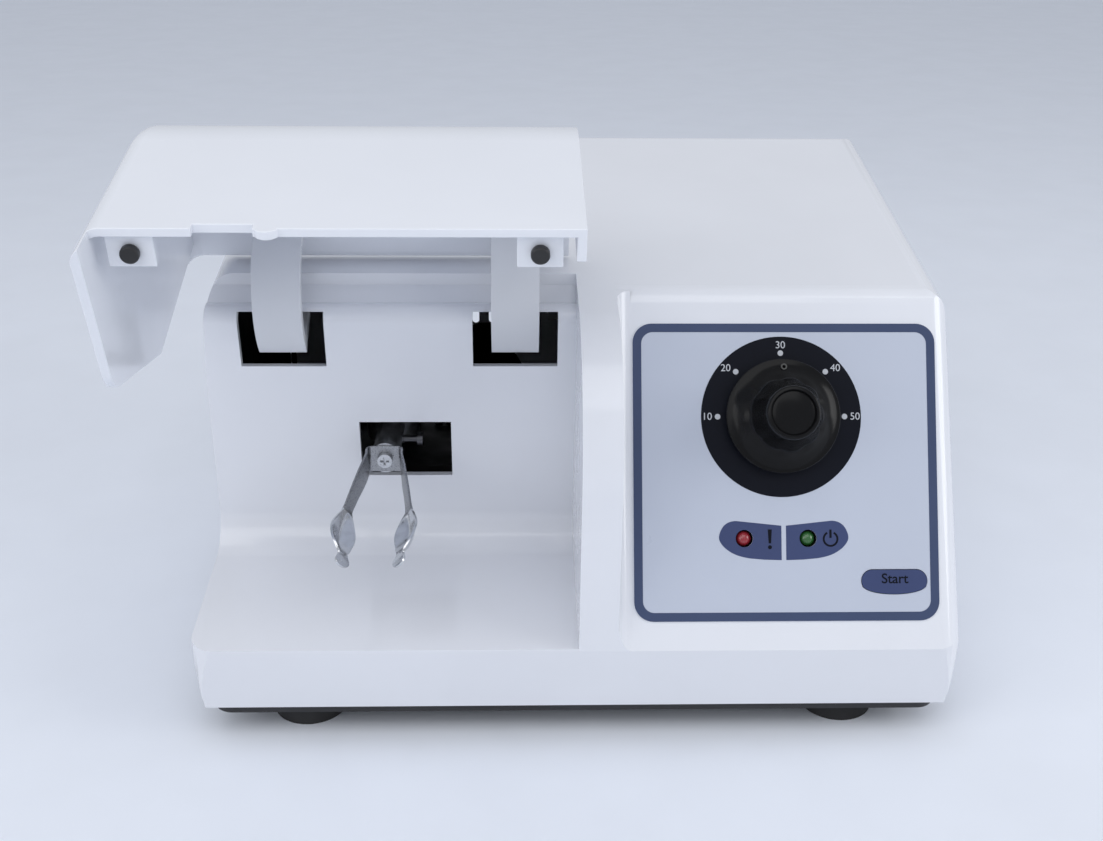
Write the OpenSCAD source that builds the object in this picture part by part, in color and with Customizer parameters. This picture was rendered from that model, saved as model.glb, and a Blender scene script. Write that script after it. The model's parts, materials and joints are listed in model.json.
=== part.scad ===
// Dental amalgamator: a capsule shaker with an open mixing chamber on the left,
// a lid on gooseneck arms and a timer panel on the right.
// Lengths are millimetres. Inside the modules x is measured from the chamber's right wall,
// y backwards from the front edge of the belt and z upwards from that belt edge.

/* [Housing] */
// Width of the housing at the belt, its widest line
body_w = 240; // [236:1:250]
// Depth of the housing from the belt edge to the back wall
body_d = 188; // [180:1:200]
// Height of the front skirt below the belt
skirt_h = 22; // [18:1:26]
// How far the skirt draws in towards the floor
skirt_in = 3; // [1:0.5:5]
// Height of the upright front above the belt
front_h = 53; // [50:1:56]
// Radius of the large bend from the front to the top
bend_r = 45; // [42:1:48]
// Rise of the top towards the back, in degrees
top_slope = 9; // [7:0.5:10]
// Sideways draw-in of the side walls from the belt to the top
side_in = 3; // [1:0.5:5]
// Radius of the edges along the top
edge_r = 8; // [5:0.5:10]
// Radius of the upright corners
corner_r = 8; // [5:0.5:12]
// Radius of the edge between the panel and the right side
panel_edge_r = 7; // [4:0.5:7]
// Thickness of the housing wall
wall = 2.5; // [2:0.1:3]

/* [Mixing chamber] */
// Rise of the chamber floor towards the back, in degrees
floor_rise = 7; // [4:0.5:9]
// Lean of the chamber's back wall, in degrees
wall_lean = 6.5; // [4:0.5:9]
// Distance from the belt edge to the nose of the back wall
nose_y = 50; // [48:0.5:52]
// Height of the nose above the belt
nose_z = 89; // [87:0.5:90]
// Radius of the bend between the floor and the back wall
pocket_r = 12; // [8:1:16]
// Distance from the belt edge to the lip where the lid ends
lip_y = 63; // [62.5:0.5:64]
// Width of the rib between the chamber and the panel
rib_w = 12; // [9:0.5:12]
// Radius of the hollow between the rib and the panel
flank_r = 4.5; // [2:0.5:4.5]
// Width of each window for a lid arm
arm_window_w = 27; // [20:1:32]
// Bottom of the arm windows above the belt
arm_window_z = 74; // [70:1:76]
// Top of the arm windows above the belt
arm_window_top = 92.5; // [91:0.5:93]
// Width of the window for the shaking arm
fork_window_w = 30; // [26:1:34]
// Bottom of the window for the shaking arm
fork_window_z = 33; // [28:1:34]
// Height of the window for the shaking arm
fork_window_h = 20.5; // [20:0.5:26]

/* [Lid] */
// Thickness of the lid
lid_wall = 2.4; // [1.8:0.1:3]
// How far the lid stands past the housing on the left
lid_over = 4.5; // [4:0.5:8]
// Gap between the lid and the rib
lid_gap = 2; // [1:0.5:4]
// How far the end wall overlaps the chamber's outline
end_overlap = 7; // [3:0.5:9]
// Radius of the end wall's lower corner
end_r = 9; // [5:1:14]
// How far the end wall's slanting edge leans back, in degrees
end_lean = 22; // [10:1:30]
// Depth of the flange at the lid's right end
flange_d = 9; // [6:0.5:12]
// Angle from closed to open, in degrees
lid_open = 77.6; // [60:0.1:78]
// Width of a lid arm
arm_w = 15; // [10:1:18]
// Thickness of a lid arm
arm_t = 3; // [2:0.5:4]
// Inner radius of the arm's bow round the hinge pin
arm_r = 21.3; // [20.5:0.1:22]
// Diameter of the hinge pin
hinge_pin_d = 4; // [3:0.5:4.5]
// Diameter of the arm's hub round the hinge pin
hub_d = 7.6; // [7:0.1:7.8]
// Diameter of a lid bumper
bumper_d = 4.8; // [4:0.2:8]

/* [Control panel] */
// Lean of the panel from upright, in degrees
panel_lean = 27.2; // [25:0.2:29]
// Gap between the label and the right side, measured at the belt
label_side = 7.9; // [6:0.1:9]
// Height of the label
label_h = 92.6; // [88:0.5:94]
// Thickness of the label
label_t = 0.4; // [0.2:0.1:0.6]
// Corner radius of the label
label_r = 6; // [3:0.5:9]
// Label's left edge from the chamber wall
label_x = 17.1; // [17:0.1:18.5]
// Label's lower edge along the panel from the belt
label_s = 9; // [8:0.5:12]
// Knob's centre from the label's left edge
knob_dx = 46.3; // [40:0.5:52]
// Knob's centre from the label's lower edge
knob_ds = 63.3; // [58:0.5:66]
// Diameter of the knob's skirt
skirt_d = 35.5; // [30:0.5:40]
// Height of the knob's skirt
skirt_t = 4.2; // [3:0.2:6]
// Height of the whole knob
knob_h = 19; // [15:0.5:24]
// Diameter at the foot of the knob's grip
grip_d = 20.5; // [18:0.5:24]
// Diameter at the top of the knob's grip
grip_top_d = 15.2; // [12:0.2:18]
// Diameter of the potentiometer shaft
pot_shaft_d = 6; // [5:0.5:6.5]
// Diameter of an indicator lamp
led_d = 5; // [4:0.5:6]
// Distance between the two lamps
led_pitch = 19.9; // [14:0.5:26]
// Lamps' height from the label's lower edge
led_ds = 25.5; // [20:0.5:28]
// Width of the start key
key_w = 20.4; // [16:0.2:22]
// Height of the start key
key_h = 7.4; // [6:0.2:9]
// Start key's centre from the label's right edge
key_in = 14; // [12:0.5:19]
// Start key's centre from the label's lower edge
key_ds = 12; // [10:0.5:14]
// Travel of the start key
key_travel = 0.8; // [0.4:0.1:1]

/* [Shaker] */
// Centre of the shaking arm from the left side
arm_in = 58; // [57:0.5:65]
// Height of the shaking arm above the belt
arm_z = 43; // [42:0.5:44]
// Distance from the belt edge to the arm's pivot
pivot_y = 82; // [81:0.5:84]
// Distance from the pivot to the motor's axis
tail_l = 30; // [29:0.5:34]
// Swing of the arm to each side, in degrees
swing = 4.5; // [3:0.1:4.5]
// Diameter of the arm's round front
arm_d = 9; // [7:0.5:10]
// Diameter of the pivot pin
pivot_d = 6; // [5:0.5:7]
// Diameter of the motor
motor_d = 50; // [44:1:52]
// Height of the motor
motor_h = 42; // [36:1:43]
// Diameter of the motor shaft
shaft_d = 6; // [5:0.5:7]
// Outer diameter of the eccentric's ball bearing
bearing_d = 10; // [9:0.5:11]

/* [Capsule clip] */
// Width of the clip's base
clip_w = 11.4; // [10:0.2:12]
// Height of the clip's base
clip_h = 9; // [8:0.5:10]
// Thickness of the spring steel
clip_t = 0.8; // [0.5:0.1:1.2]
// Distance between the centres of the two cups
cup_span = 19.6; // [16:0.2:22]
// Length of the clip's legs from the base to the cups
leg_l = 26; // [24:1:27]
// Length of a cup
cup_l = 21; // [18:0.5:21.5]
// Width of a cup
cup_w = 10; // [8:0.5:12]
// Fall of the legs towards the front, in degrees
leg_fall = 20; // [14:1:21]

/* [Base and rear] */
// Thickness of the base plate
plate_t = 3; // [2:0.5:4]
// How far the base plate stands back from the skirt
plate_in = 1.5; // [0.5:0.5:3]
// Height of a rubber foot
foot_h = 9; // [7:0.5:12]
// Diameter of a rubber foot
foot_d = 23.5; // [18:0.5:28]
// Distance from the side walls to the feet's centres
foot_in = 33; // [26:1:40]
// Distance from the belt edge to the front feet
foot_y = 22; // [18:1:30]
// Distance from the front feet to the rear feet
foot_pitch = 142; // [130:1:146]
// Diameter of a base screw
screw_d = 4; // [3:0.5:4]
// Height of the mains inlet above the belt
inlet_z = 4; // [0:1:10]
// Centre of the mains inlet from the right side
inlet_in = 60; // [58:1:66]
// Tilt of the power rocker to each side, in degrees
rocker_tilt = 9; // [5:1:10]
// Number of cooling slots in the back wall
slot_count = 9; // [3:1:12]

/* [Hidden] */
$fn = 48;
// Running clearance of shafts, play between still parts and air beside moving ones
run = 0.04;
play = 0.1;
air = 0.35;
half_w = body_w / 2;
label_w = half_w - label_side - label_x;
arm_x = arm_in - half_w;
foot_x = half_w - foot_in;
inlet_x = half_w - inlet_in;
z_low = -skirt_h;
z_far = 200;
// The tangent point where the bend meets the sloping top
bend_y = bend_r * (1 - sin(top_slope));
bend_z = front_h + bend_r * cos(top_slope);
// The pocket's straight back wall passes the nose at its foremost point
nose_r = 5;
lip_step = 3.8;
side_top = 130;
// The chamber's floor starts a little above the belt
floor_lip = 0.8;
pin_y = lip_y + 7;
pin_z = top_at(lip_y) - 6.4;
lid_x0 = -half_w - lid_over;
lid_x1 = -lid_gap;
lid_cut_r = norm([lip_y - pin_y, top_at(lip_y) - pin_z]) + 0.4;
notch_x = -97.5;
notch_w = 14.7;
tab_r = 3.3;
shelf_w = 11.5;
shelf_d = 10.5;
shelf_t = 2;
shelf_z = 5.2;
shelf_in = lid_wall + shelf_w / 2 + 3.2;
shelf_mid = [lid_x0 + shelf_in, lid_x1 - shelf_in];
arm_centres = [-half_w + arm_window_w / 2 + 13.3, -33 + arm_window_w / 2];
knob_x = label_x + knob_dx;
knob_s = label_s + knob_ds;
led_s = label_s + led_ds;
led_x = [knob_x - led_pitch / 2 - 2, knob_x + led_pitch / 2 - 2];
key_x = label_x + label_w - key_in;
key_s = label_s + key_ds;
board_z = -16;
board_t = 1.6;
board_w = label_w - 7;
board_h = 80;
board_x = label_x + 4;
board_s = label_s + 4;
board_screw_d = 3;
board_holes_x = [6, board_w - 6];
board_holes_s = [22, board_h - 5];
transformer_at = [half_w - 58, 122];
transformer_core = [48, 16, 40];
transformer_foot = [66, 16, 1.5];
transformer_coil = [30, 34, 24];
transformer_pitch = 57;
boss_d = 7;
throw = tail_l * sin(swing);
motor_y = pivot_y + tail_l;
mount_z = arm_z - 18;
mount_t = 3;
hub_z = arm_z - 6;
hub_h = 12;
clip_y = 48;
plate_z = z_low - plate_t;
floor_z = plate_z - foot_h;
back_y = body_d;
pot_bush_d = 7;
knob_base = 3.3;
lamp_h = 5.1;
lamp_z = label_t - led_d / 2 - lamp_h;
key_flange_z = -wall - 0.4;
key_flange_t = 1.2;
bracket_t = 2;
pad_drop = 9;
pad_y = pin_y + 19;
ear_out = arm_w / 2 + 1.6;
ear_l = 14;
bush_d = pivot_d + 3;
clamp_y = 64;
washer_t = 3;
yoke_r = bearing_d / 2 + 2 * throw + 0.4;
cup_r = 20;
cup_d = 2.6;
rocker_w = 8.8;
rocker_back = 1.5;
trunnion_d = 2.4;
trunnion_l = 11.6;
// The arm sits left of its window's middle, as a thumb screw stands on its right
fork_x = arm_x + 6.4;
switch_x = inlet_x - 44;
fuse_x = inlet_x - 70;
inlet_hole = [27.4, 20];
switch_hole = [19.4, 13];
fuse_d = 12;
// The row's origin lies under the middle of the whole, open lid and rear fittings included
lid_low = 3.2;
end_drop = end_overlap + 2;
end_cut = [pin_y - 9.2, pin_z - 55.6];
open_front = rot_y(0, -end_overlap / cos(floor_rise));
rear_out = 4.2;
shift_x = -(half_w + lid_x0) / 2;
shift_y = -(open_front + back_y + rear_out) / 2;
shift_z = -floor_z;
// The bend is cut a hair deeper than floor and wall, so that its face crosses theirs cleanly
bend_sink = 0.02;
// Directions of the chamber's floor and back wall in the side view, and the middle of their bend
floor_up = [cos(floor_rise), sin(floor_rise)];
wall_up = [-sin(wall_lean), cos(wall_lean)];
nose = [nose_y + nose_r, nose_z];
bend_mid = meet([0, floor_lip] + pocket_r * right_of(floor_up) * -1, floor_up,
  nose - (nose_r + pocket_r) * right_of(wall_up), wall_up);

// Height of the outer top surface at a distance y from the belt edge
function top_at(y) = bend_z + (y - bend_y) * tan(top_slope);
// Where two lines meet, each given by a point and a direction
function meet(p, d, q, e) = p + d * ((q[0] - p[0]) * e[1] - (q[1] - p[1]) * e[0])
  / (d[0] * e[1] - d[1] * e[0]);
// The direction square to another, on its right
function right_of(d) = [d[1], -d[0]];
// A closed-lid point turned to the open pose, its y value
function rot_y(y, z) = pin_y + (y - pin_y) * cos(lid_open) + (z - pin_z) * sin(lid_open);

module place() {
  translate([shift_x, shift_y, shift_z]) children();
}

// Extrudes a side view, drawn as (y, z), from x0 to x1
module along_x(x0, x1) {
  translate([x0, 0, 0]) rotate([90, 0, 90]) linear_extrude(x1 - x0) children();
}

// Extrudes a front view, drawn as (x, z), from y0 to y1
module along_y(y0, y1) {
  translate([0, y1, 0]) rotate([90, 0, 0]) linear_extrude(y1 - y0) children();
}

// Puts children on the panel: x across, y up the slope, z out of the surface
module on_panel(x, s) {
  translate([x, s * sin(panel_lean), s * cos(panel_lean)]) rotate([90 - panel_lean, 0, 0]) children();
}

module swung_open() {
  translate([0, pin_y, pin_z]) rotate([-lid_open, 0, 0]) translate([0, -pin_y, -pin_z]) children();
}

module pill(w, h) {
  square([w - h, h], center = true);
  for (side = [-1, 1]) translate([side * (w - h) / 2, 0]) circle(d = h);
}

module rounded_rect(w, h, r) {
  square([w - 2 * r, h], center = true);
  square([w, h - 2 * r], center = true);
  for (i = [-1, 1]) for (j = [-1, 1]) translate([i * (w / 2 - r), j * (h / 2 - r)]) circle(r);
}

// Side view of the rib, the fullest outline, drawn in by t
module rib_side(t) {
  slope = [cos(top_slope), sin(top_slope)];
  top = [bend_y, bend_z] + t * [sin(top_slope), -cos(top_slope)];
  rear = back_y - t;
  r = max(edge_r - t, 0.5);
  c = [back_y - edge_r, top_at(back_y - edge_r) - edge_r / cos(top_slope)];
  polygon([[skirt_in + t, z_low], [t, 0], [t, front_h], [bend_r, front_h], top,
    c + r * [-sin(top_slope), cos(top_slope)], c, [rear, c[1]], [rear, z_low]]);
  translate([bend_r, front_h]) circle(bend_r - t);
  translate(c) circle(r);
}

// The start of the chamber's outline, grown by t: floor, bend and the foot of the wall
function bend_points(t) = [[0, floor_lip] + t * right_of(floor_up) - 60 * floor_up,
  bend_mid + (pocket_r + t) * right_of(floor_up), bend_mid, bend_mid + (pocket_r + t) * right_of(wall_up)];

// Outline of the lid's end wall: lower edge, round corner, slanting edge and rear edge
module end_outline(t, r) {
  up = [sin(end_lean), cos(end_lean)];
  rear = nose + (t - nose_r) * right_of(wall_up);
  mid = meet([0, floor_lip] + (t - r) * right_of(floor_up), floor_up, end_cut - r * right_of(up), up);
  polygon([[0, floor_lip] + t * right_of(floor_up) - 60 * floor_up, mid + r * right_of(floor_up), mid,
    mid + r * right_of(up), meet(end_cut, up, rear, wall_up), rear + 30 * wall_up, [-60, z_far]]);
  translate(mid) circle(r + bend_sink);
}

// Floor and back wall alone, straight on past the nose
module pocket_bend(t) {
  polygon(concat(bend_points(t), [nose + (t - nose_r) * right_of(wall_up) + 30 * wall_up, [-60, z_far]]));
  translate(bend_mid) circle(pocket_r + t + bend_sink);
}

// The whole chamber, grown by t: past the nose it rises to the lip
module pocket_side(t) {
  r = nose_r - t;
  difference() {
    union() {
      polygon(concat(bend_points(t), [nose - r * right_of(wall_up), nose, nose + r * [-0.23, 0.55],
        [lip_y + t, top_at(lip_y) - lip_step - t], [lip_y + t, z_far], [-60, z_far]]));
      translate(bend_mid) circle(pocket_r + t + bend_sink);
    }
    translate(nose) circle(r);
  }
}

// Everything behind the control panel's plane, drawn in by t
module panel_side(t) {
  d = [sin(panel_lean), cos(panel_lean)];
  inward = [d[1], -d[0]];
  slope = [cos(top_slope), sin(top_slope)];
  down = [slope[1], -slope[0]];
  top = [bend_y, bend_z];
  c = meet(edge_r * inward, d, top + edge_r * down, slope);
  r = edge_r - t;
  foot = meet(t * inward, d, [t, 0], [0, 1]);
  polygon([[0, z_low - 1], [0, foot[1]], foot, c - r * inward, c, c - r * down, c - r * down + 150 * slope,
    [260, z_low - 1]]);
  translate(c) circle(r);
}

// Front view with the drawn-in sides and skirt, drawn in by t
module front_outline(t) {
  w = half_w - t;
  polygon([[-w + skirt_in, z_low], [-w, 0], [-w + side_in, side_top], [w - side_in, side_top], [w, 0],
    [w - skirt_in, z_low]]);
}

// Rounds the edges between the sides and the sloping top
module top_outline(t) {
  w = half_w - side_in - t;
  r = edge_r - t;
  polygon([[-w - 12, -170], [-w, -edge_r], [-w + r, -t], [w - r, -t], [w, -edge_r], [w + 12, -170]]);
  for (side = [-1, 1]) translate([side * (w - r), -edge_r]) circle(r);
}

module outline_limits(t) {
  intersection() {
    along_y(-10, body_d + 10) front_outline(t);
    translate([0, bend_y, bend_z]) rotate([90 + top_slope, 0, 0])
      translate([0, 0, -250]) linear_extrude(500) top_outline(t);
    translate([0, body_d / 2, z_low - 1]) linear_extrude(200)
      rounded_rect(body_w - 2 * t, body_d - 2 * t, corner_r - t);
  }
}

// The housing as a solid block, drawn in by t on every side
module housing_block(t) {
  intersection() {
    union() {
      along_x(-half_w - 1, t) difference() {
        rib_side(t);
        pocket_side(t);
      }
      along_x(t, rib_w - t) rib_side(t);
      intersection() {
        along_x(rib_w - t, half_w + 1) intersection() {
          rib_side(t);
          panel_side(t);
        }
        panel_edge(t);
      }
      if (t == 0) rib_hollow();
    }
    outline_limits(t);
  }
}

// Rounds the edge between the panel and the right side
module panel_edge(t) {
  r = panel_edge_r;
  on_panel(half_w, 0) rotate([90, 0, atan(side_in * cos(panel_lean) / side_top)]) translate([0, 0, -300])
    linear_extrude(600) {
      polygon([[-300, -260], [-300, -t], [-r, -t], [-r, -r], [-t, -r], [16 - t, -260]]);
      translate([-r, -r]) circle(r - t);
    }
}

// The hollow bend that runs from the rib's flank into the panel
module rib_hollow() {
  intersection() {
    on_panel(rib_w - 1, 125) rotate([90, 0, 0]) linear_extrude(125) difference() {
      translate([0, -1]) square(flank_r + 1);
      translate([flank_r + 1, flank_r]) circle(flank_r);
    }
    along_x(rib_w - 1, rib_w + flank_r) rib_side(0);
  }
}

module foot_spots() {
  for (x = [-foot_x, foot_x]) for (y = [foot_y, foot_y + foot_pitch]) translate([x, y, 0]) children();
}

// Rear openings, cut d deep around the back wall
module rear_cut(x, z, d) {
  translate([x, back_y - d / 2, z]) rotate([90, 0, 0]) translate([0, 0, -d]) linear_extrude(2 * d) children();
}

module board_spots() {
  for (i = board_holes_x) for (j = board_holes_s) on_panel(board_x + i, board_s + j) children();
}

module housing_bosses() {
  foot_spots() translate([0, 0, z_low]) cylinder(d = boss_d + 3, h = 24);
  for (side = [-1, 1]) for (y = [foot_y, foot_y + foot_pitch])
    translate([side * (foot_x + half_w) / 2, y, z_low + 12]) cube([half_w - foot_x, 2.5, 24], center = true);
  board_spots() translate([0, 0, board_z]) cylinder(d = boss_d, h = -board_z - wall / 2);
  for (x = arm_centres) under_top(x, pad_y) translate([0, 0, -pad_drop])
    cylinder(d = boss_d + 1, h = pad_drop - 1);
}

module housing() {
  color("#dfe6f0") place() difference() {
    union() {
      difference() {
        housing_block(0);
        housing_block(wall);
        translate([-body_w, -5, z_low - 1]) cube([2 * body_w, body_d + 10, 1]);
      }
      intersection() {
        housing_bosses();
        housing_block(wall / 2);
      }
    }
    for (k = [0, 1]) translate([arm_centres[k] - arm_window_w / 2, nose_y - 8, arm_window_z])
      cube([arm_window_w, 20, arm_window_top - arm_window_z]);
    translate([fork_x - fork_window_w / 2, nose_y - 5, fork_window_z])
      cube([fork_window_w, 20, fork_window_h]);
    foot_spots() translate([0, 0, z_low - 1]) cylinder(d = screw_d + 2 * run, h = 17);
    board_spots() translate([0, 0, board_z - 1]) cylinder(d = board_screw_d + 2 * run, h = 9);
    for (x = arm_centres) under_top(x, pad_y) translate([0, 0, -pad_drop - 1])
      cylinder(d = 3 + 2 * run, h = 7.5);
    on_panel(knob_x, knob_s) translate([0, 0, -wall - 1]) cylinder(d = pot_bush_d + 0.4, h = wall + 2);
    for (x = led_x) on_panel(x, led_s) translate([0, 0, -wall - 1]) cylinder(d = led_d + 0.4, h = wall + 2);
    on_panel(key_x, key_s) translate([0, 0, -wall - 1]) linear_extrude(wall + 2)
      pill(key_w + 2 * air, key_h + 2 * air);
    rear_cut(inlet_x, inlet_z, wall + 2) square(inlet_hole + [0.4, 0.4], center = true);
    rear_cut(switch_x, inlet_z, wall + 2) square(switch_hole + [0.4, 0.4], center = true);
    rear_cut(fuse_x, inlet_z, wall + 2) circle(d = fuse_d + 0.4);
    for (i = [-1, 1]) rear_cut(inlet_x + 20 * i, inlet_z, wall + 2) circle(d = 3 + 2 * run);
    for (k = [0:slot_count - 1]) rear_cut(35 - half_w + k * 7, 55, wall + 2) pill_upright(3, 30);
  }
}

module pill_upright(w, h) {
  rotate(90) pill(h, w);
}

module base_plate() {
  w = body_w - 2 * skirt_in - 2 * plate_in;
  d = body_d - skirt_in - 2 * plate_in;
  color("#16171a") place() difference() {
    translate([0, skirt_in + plate_in + d / 2, plate_z]) linear_extrude(plate_t)
      rounded_rect(w, d, corner_r - plate_in);
    foot_spots() translate([0, 0, plate_z - 1]) cylinder(d = screw_d + 0.5, h = plate_t + 2);
    mount_spots() translate([0, 0, -plate_t - 1]) cylinder(d = 4 + 2 * run, h = plate_t + 2);
    transformer_spots() translate([0, 0, -plate_t - 1]) cylinder(d = 4 + 2 * run, h = plate_t + 2);
    for (k = [0:6]) translate([-8 + k * 8, 60, plate_z - 1]) linear_extrude(plate_t + 2) pill_upright(3, 40);
  }
}

module rubber_feet() {
  color("#1c1c1e") place() foot_spots() translate([0, 0, floor_z]) difference() {
    cylinder(d = foot_d, h = foot_h);
    translate([0, 0, -1]) cylinder(d = 9.5, h = foot_h - 3);
    translate([0, 0, -1]) cylinder(d = screw_d + 0.5, h = foot_h + 2);
  }
}

module pan_screw(d, l, head_d, head_h) {
  cylinder(d = d, h = l);
  translate([0, 0, -head_h]) difference() {
    cylinder(d = head_d, h = head_h);
    for (a = [0, 90]) rotate(a) translate([0, 0, head_h * 0.2])
      cube([head_d * 0.6, d * 0.25, head_h * 0.8], center = true);
  }
}

module base_screws() {
  color("#9a9da3") place() foot_spots()
    translate([0, 0, plate_z - 4]) pan_screw(screw_d, plate_t + 4 + 14, 8, 2.8);
}

module control_label() {
  color("#b2bbd2") place() on_panel(label_x + label_w / 2, label_s + label_h / 2)
    linear_extrude(label_t) difference() {
      rounded_rect(label_w, label_h, label_r);
      translate([knob_dx - label_w / 2, knob_ds - label_h / 2]) circle(d = pot_bush_d + 0.4);
      for (x = led_x) translate([x - label_x - label_w / 2, led_ds - label_h / 2]) circle(d = led_d + 0.4);
      translate([label_w / 2 - key_in, key_ds - label_h / 2]) pill(key_w + 2 * air, key_h + 2 * air);
    }
}

module timer_knob() {
  color("#1b1b1f") place() on_panel(knob_x, knob_s) translate([0, 0, knob_base]) difference() {
    union() {
      cylinder(d1 = skirt_d, d2 = skirt_d - 0.6, h = 1.6);
      translate([0, 0, 1.6]) cylinder(d1 = skirt_d - 0.6, d2 = skirt_d - 9, h = skirt_t - 1.6);
      cylinder(d1 = grip_d, d2 = grip_top_d, h = knob_h);
      translate([0, 0, knob_h]) cylinder(d1 = grip_top_d, d2 = grip_top_d - 1.6, h = 0.5);
    }
    translate([0, 0, knob_h + 0.2]) cylinder(d = grip_top_d - 3.4, h = 1);
    translate([0, 0, -1]) cylinder(d = pot_shaft_d + 2 * run, h = knob_h - 4);
    translate([0, 0, -1]) difference() {
      cylinder(d = skirt_d - 5, h = 2.2);
      cylinder(d = 15.5, h = 2.2);
    }
    for (a = [20:40:340]) rotate(a) translate([grip_d / 2 + 2.1, 0, skirt_t + 1]) cylinder(d = 7, h = knob_h);
    translate([0, 0, 7.5]) rotate([0, 90, 0]) cylinder(d = 3 + 2 * run, h = 20);
  }
}

module knob_set_screw() {
  color("#8a8d92") place() on_panel(knob_x, knob_s) translate([pot_shaft_d / 2 + 0.1, 0, knob_base + 7.5])
    rotate([0, 90, 0]) difference() {
      cylinder(d = 3, h = 4.5);
      translate([0, 0, 3.5]) cube([3.5, 0.6, 2.2], center = true);
    }
}

module potentiometer() {
  color("#9ea3a8") place() on_panel(knob_x, knob_s) difference() {
    union() {
      translate([0, 0, -wall - 9]) cylinder(d = 24, h = 9 - play);
      translate([0, 0, -wall - 1]) cylinder(d = pot_bush_d, h = wall + label_t + 3);
      for (i = [-1:1]) translate([5 * i - 0.5, -17, -wall - 6]) cube([1, 7, 0.5]);
    }
    translate([0, 0, -wall - 7]) cylinder(d = pot_shaft_d + 2 * run, h = 40);
  }
}

module potentiometer_shaft() {
  color("#c8cacc") place() on_panel(knob_x, knob_s) translate([0, 0, -wall - 6.8])
    cylinder(d = pot_shaft_d, h = wall + 6.8 + knob_base + knob_h - 6);
}

module potentiometer_nut() {
  color("#c0a96a") place() on_panel(knob_x, knob_s) translate([0, 0, label_t]) difference() {
    union() {
      cylinder(d = 13, h = 0.6);
      translate([0, 0, 0.6]) cylinder(d = 11.5, h = 1.8, $fn = 6);
    }
    translate([0, 0, -1]) cylinder(d = pot_bush_d + 2 * run, h = 5);
  }
}

module lamp() {
  translate([0, 0, lamp_z - 1]) cylinder(d = led_d + 1, h = 1);
  translate([0, 0, lamp_z]) cylinder(d = led_d, h = lamp_h);
  translate([0, 0, lamp_z + lamp_h]) sphere(d = led_d - 0.02);
  for (i = [-1, 1]) translate([1.27 * i, 0, board_z]) cylinder(d = 0.6, h = lamp_z - 0.5 - board_z, $fn = 16);
}

module red_lamp() {
  color("#c81e28") place() on_panel(led_x[0], led_s) lamp();
}

module green_lamp() {
  color("#1fa04a") place() on_panel(led_x[1], led_s) lamp();
}

module start_key() {
  color("#2b3a63") place() on_panel(key_x, key_s) {
    translate([0, 0, key_flange_z - key_flange_t]) {
      linear_extrude(label_t + 0.5 + key_flange_t - key_flange_z) pill(key_w, key_h);
      linear_extrude(key_flange_t) pill(key_w + 3, key_h + 3);
    }
  }
}

module start_switch() {
  top = key_flange_z - key_flange_t - key_travel - 0.3;
  color("#26282c") place() on_panel(key_x, key_s) {
    translate([-8.4, -3, board_z]) cube([9.5, 6, 6.5]);
    translate([0, 0, board_z]) cylinder(d = 3.5, h = top - board_z);
  }
}

module control_board() {
  color("#1f6b43") place() on_panel(board_x + board_w / 2, board_s + board_h / 2)
    translate([0, 0, board_z - board_t]) linear_extrude(board_t) difference() {
      square([board_w, board_h], center = true);
      for (i = board_holes_x) for (j = board_holes_s) translate([i - board_w / 2, j - board_h / 2])
        circle(d = board_screw_d + 0.4);
    }
}

module board_screws() {
  color("#9a9da3") place() board_spots()
    translate([0, 0, board_z - board_t]) pan_screw(board_screw_d, 8, 5.6, 2);
}

module relay() {
  color("#2c5fa8") place() on_panel(board_x + 22, board_s + 24)
    translate([-9.5, -7.5, board_z - board_t - 15]) cube([19, 15, 15]);
}

module capacitors() {
  color("#2a2c33") place() on_panel(board_x + board_w - 36, board_s + 26) {
    translate([0, 0, board_z - board_t - 16]) cylinder(d = 13, h = 16);
    translate([17, 0, board_z - board_t - 12]) cylinder(d = 10, h = 12);
  }
}

// A block on its foot, centred sideways
module standing(size) {
  translate([-size[0] / 2, -size[1] / 2, 0]) cube(size);
}

module transformer_spots() {
  for (i = [-1, 1]) translate([transformer_at[0] + i * transformer_pitch / 2, transformer_at[1], z_low])
    children();
}

module transformer() {
  color("#5b5f66") place() difference() {
    translate([transformer_at[0], transformer_at[1], z_low]) {
      standing(transformer_core);
      standing(transformer_foot);
      translate([0, 0, (transformer_core[2] - transformer_coil[2]) / 2]) standing(transformer_coil);
    }
    transformer_spots() translate([0, 0, -1]) cylinder(d = 4.4, h = 4);
  }
}

module transformer_screws() {
  color("#9a9da3") place() transformer_spots()
    translate([0, 0, transformer_foot[2]]) mirror([0, 0, 1])
      pan_screw(4, transformer_foot[2] + plate_t, 7, 2.4);
}

// The lid in the side view, closed, with its rear edge clear of the lip as it turns
module lid_side(low) {
  difference() {
    intersection() {
      union() {
        rib_side(0);
        translate([0, low]) square([lip_y - 5, 1 - low]);
      }
      translate([-5, low]) square([lip_y + 5, 140]);
    }
    translate([pin_y, pin_z]) circle(lid_cut_r);
  }
}

module lid_cover() {
  color("#e4eaf3") place() swung_open() {
    difference() {
      along_x(lid_x0, lid_x1) difference() {
        lid_side(lid_low);
        rib_side(lid_wall);
      }
      translate([notch_x, -1, 0]) cube([notch_w, lid_wall + 2, lid_low + 2.3]);
    }
    translate([notch_x + notch_w + tab_r, 0, lid_low + tab_r / 2]) rotate([-90, 0, 0])
      cylinder(r = tab_r, h = lid_wall);
    along_x(lid_x0, lid_x0 + lid_wall) intersection() {
      lid_side(-end_drop);
      end_outline(end_overlap, end_r);
    }
    along_x(lid_x1 - lid_wall, lid_x1) difference() {
      intersection() {
        lid_side(lid_low);
        pocket_bend(-air);
      }
      rib_side(flange_d);
      translate([pin_y, pin_z]) circle(arm_r + arm_t + 2);
    }
    for (x = shelf_mid) translate([x - shelf_w / 2, lid_wall / 2, shelf_z]) cube([shelf_w, shelf_d, shelf_t]);
  }
}

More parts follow.
